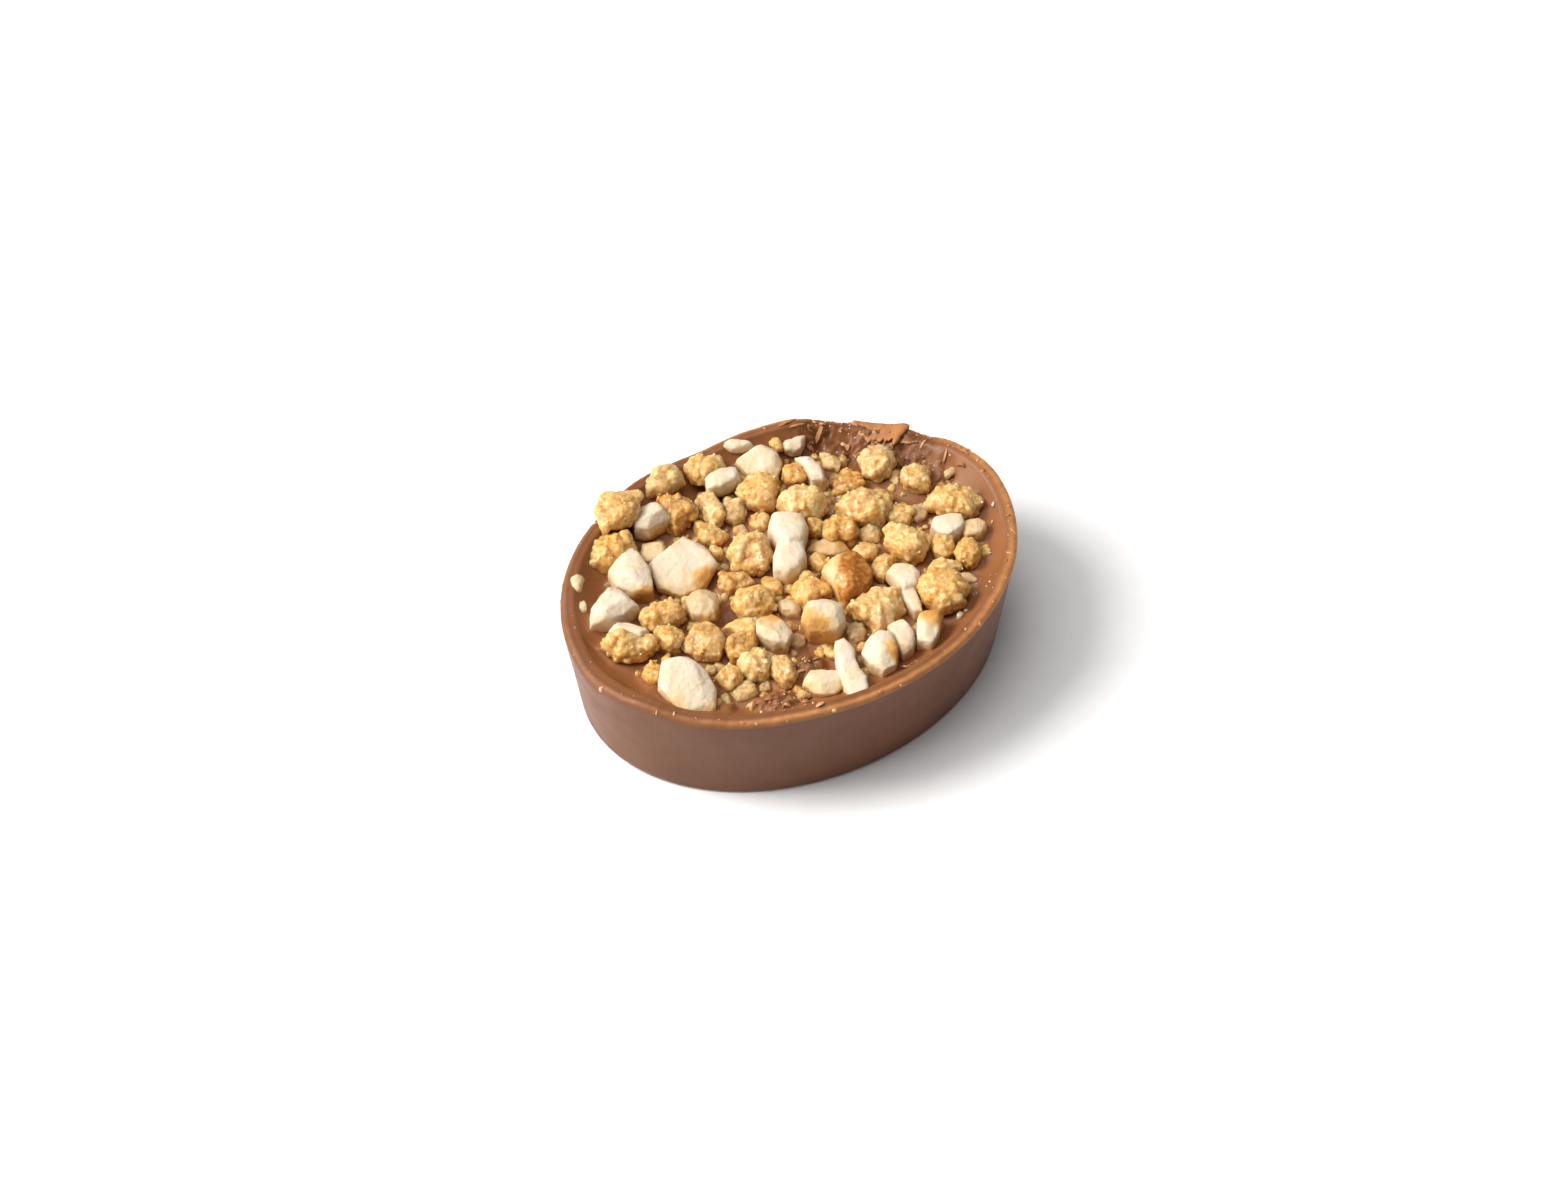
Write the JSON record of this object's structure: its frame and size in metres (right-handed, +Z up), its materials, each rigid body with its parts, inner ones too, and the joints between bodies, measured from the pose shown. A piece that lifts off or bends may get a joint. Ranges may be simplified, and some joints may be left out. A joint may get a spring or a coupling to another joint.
{
  "type": "chocolate praline",
  "caption": "Oval milk chocolate praline with a tapered moulded wall and a shallow rimmed top filled with candied crumbs and chopped nut pieces.",
  "frame": {"origin": "middle of the flat oval base, on the surface it stands on", "axes": "+X along the oval's long axis, +Y across it, +Z up through the open top"},
  "size_m": [0.038, 0.0286, 0.0125],
  "materials": {
    "chocolate": "satin milk chocolate",
    "candied_crumb": "rough honey-coloured candied crumb",
    "nut": "matt cream nut, toasted in places"
  },
  "bodies": {
    "root": {"praline": "chocolate"}
  },
  "joints": []
}
